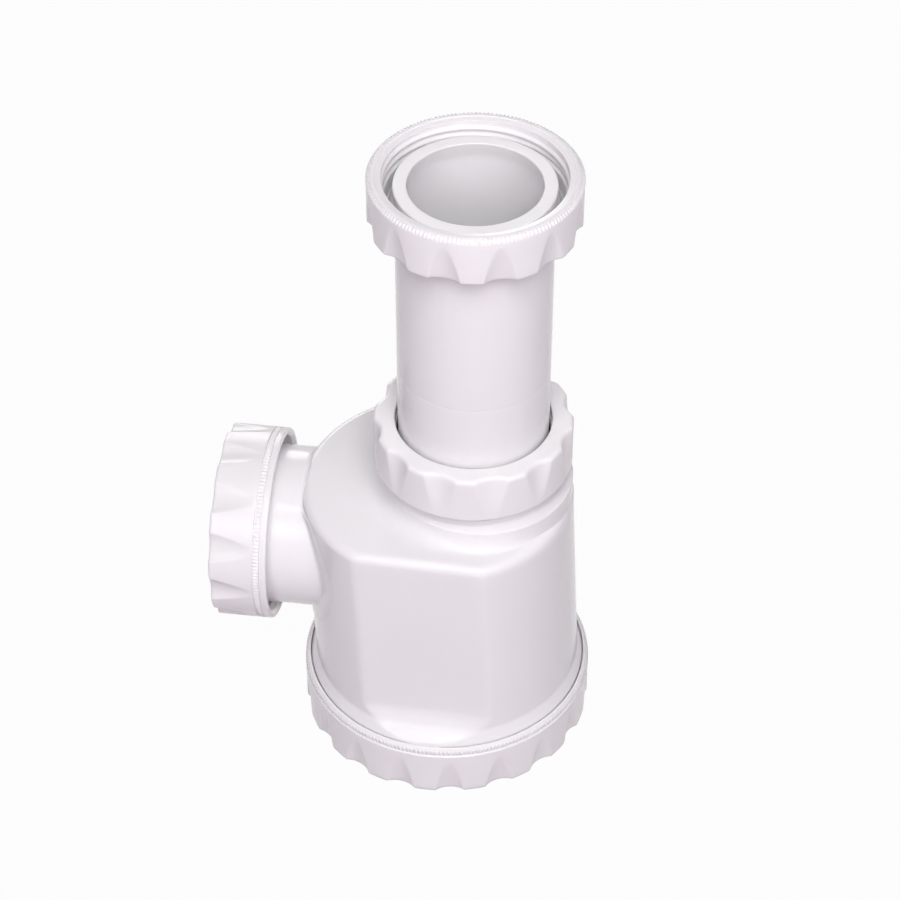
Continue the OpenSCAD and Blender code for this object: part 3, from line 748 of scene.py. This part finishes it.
# %% Root of the spigot, its pad, and the whole piece
FILLET, LIFT, DIVE_X, TUCK = 0.6, 0.22, 39.9, 1.6
PAD_R, PAD_LEVEL, PAD_FADE, BACK_R = 26.4, 19.4, 1.6, 19.5
high = np.cos(phi)
dive = ramp(high, 0.66, 0.92)
pad = np.clip(PAD_LEVEL / np.maximum(high, 0.01), 23.5, PAD_R)
start_x = (stand(SPIGOT_R, LIFT) + FILLET) * (1 - dive) + DIVE_X * dive
t = steps(6)
run_r, run_x = SPIGOT_R + 0 * t * phi, NARROW_X + (start_x - NARROW_X) * t
psi = steps(6, np.pi / 2)
bow_r = SPIGOT_R + FILLET * (1 - np.cos(psi)) + 0 * phi
bow_x = stand(bow_r, LIFT) + FILLET * (1 - np.sin(psi))
flat_r = bow_r[-1:] + (pad - bow_r[-1:]) * steps(10)
flat_x = stand(flat_r, LIFT * (1.0 - ramp(flat_r, pad - PAD_FADE, pad)) + 0.01)
hem_r = pad + column(0.05, 0.0, -0.3)
hem_x = stand(hem_r, column(-0.05, -0.4, -1.3))
root_r, root_x = np.concatenate([bow_r, flat_r, hem_r]), np.concatenate([bow_x, flat_x, hem_x])
s = steps(len(root_r))
root_r = root_r * (1 - dive) + (SPIGOT_R - TUCK * s ** 1.5) * dive
root_x = root_x * (1 - dive) + (DIVE_X - TUCK * np.sqrt(s)) * dive
back_r = column(BACK_R, BACK_R, PORT_R) + 0 * phi
back_x = np.concatenate([stand(BACK_R, -1.3), stand(BACK_R, -0.15, WALL), stand(PORT_R, -0.15, WALL)])
spigot_r = np.concatenate([mouth_r, run_r, root_r, back_r])[::-1]
spigot_x = np.concatenate([mouth_x, run_x, root_x, back_x])[::-1]
turned("outlet_spigot", spigot_r, spigot_x, at_outlet, bottle_white, "bottle", "body_plastic")

# %% [markdown]
# ## Studio
# A product photograph has a white sweep and broad soft lamps. The floor stays white to the camera and
# in the gloss, and keeps the trap's faint shadow. The world gives low light from all round, as a white
# room does, and most of it comes from near the horizon.

# %% Floor and world
FLOOR, FLOOR_GLOW, SKY_FALL = 3.0, 0.97, 1.1
WHITE = (1, 1, 1, 1)
floor_mesh = bpy.data.meshes.new("studio_floor")
floor_mesh.from_pydata([(-FLOOR, -FLOOR, 0), (FLOOR, -FLOOR, 0), (FLOOR, FLOOR, 0), (-FLOOR, FLOOR, 0)],
                       [], [(0, 1, 2, 3)])
floor = bpy.data.objects.new("studio_floor", floor_mesh)
bpy.context.scene.collection.objects.link(floor)
sweep = Finish("studio_sweep", Base_Color=(0.37, 0.33, 0.36, 1), Roughness=0.9)
glow = sweep.node("ShaderNodeEmission", None, {"Color": WHITE, "Strength": 1.0})[0]
mixed = sweep.node("ShaderNodeMixShader", None, {0: sweep.seen() * FLOOR_GLOW,
                                                 1: sweep.shader.outputs[0], 2: glow})[0]
sweep.put(sweep.tree.nodes["Material Output"].inputs["Surface"], mixed)
floor_mesh.materials.append(sweep.material)

world = bpy.data.worlds.new("studio_world")
bpy.context.scene.world = world
world.use_nodes = True
sky = Sheet(world.node_tree)
height = sky.node("ShaderNodeSeparateXYZ", None, {0: sky.node("ShaderNodeTexCoord")[0]})[2]
light = sky.blend((height * SKY_FALL).clamped(), (0.48, 0.405, 0.468, 1), (0.06, 0.056, 0.06, 1))
sky.put(sky.tree.nodes["Background"].inputs["Color"], sky.blend(sky.seen(), light, WHITE))
print("floor", 2 * FLOOR, "m wide")

# %% [markdown]
# ## Lamps
# One large softbox above the camera does most of the work, two weak ones fill the sides with a faint
# pink, a low one behind keeps the back from going dark, and one small lamp gives the plastic its short
# bright highlights. All of them look at the camera's target, so each is only a direction, a distance,
# a size and a strength.

# %% Lamps
def lamp(name, kind, azimuth, elevation, distance, size, watts, colour=(1, 1, 1)):
    """A lamp that looks at the trap from an azimuth and an elevation in degrees, metres away."""
    a, e = np.radians([azimuth, elevation])
    place = TARGET + distance * Vector((np.sin(a) * np.cos(e), -np.cos(a) * np.cos(e), np.sin(e)))
    light = bpy.data.lights.new(name, kind)
    light.energy, light.color = watts, colour
    if kind == "AREA":
        light.shape, light.size = "DISK", size
    else:
        light.shadow_soft_size = size
    made = bpy.data.objects.new(name, light)
    bpy.context.scene.collection.objects.link(made)
    made.matrix_world = Matrix.Translation(place) @ (TARGET - place).to_track_quat(
        "-Z", "Y").to_matrix().to_4x4()
    print(name, watts, "W")


FAINT_PINK = (1.0, 0.93, 0.98)
lamp("key_softbox", "AREA", 12, 53, distance=1.2, size=0.6, watts=9.3)
lamp("right_fill", "AREA", 42, 30, distance=1.2, size=0.5, watts=2.6, colour=FAINT_PINK)
lamp("left_fill", "AREA", -20, 30, distance=1.2, size=0.5, watts=2.6, colour=FAINT_PINK)
lamp("rear_fill", "AREA", 200, 15, distance=1.2, size=0.6, watts=4.0)
lamp("small_lamp", "POINT", -19.6, 63.3, distance=1.5, size=0.035, watts=3.0)
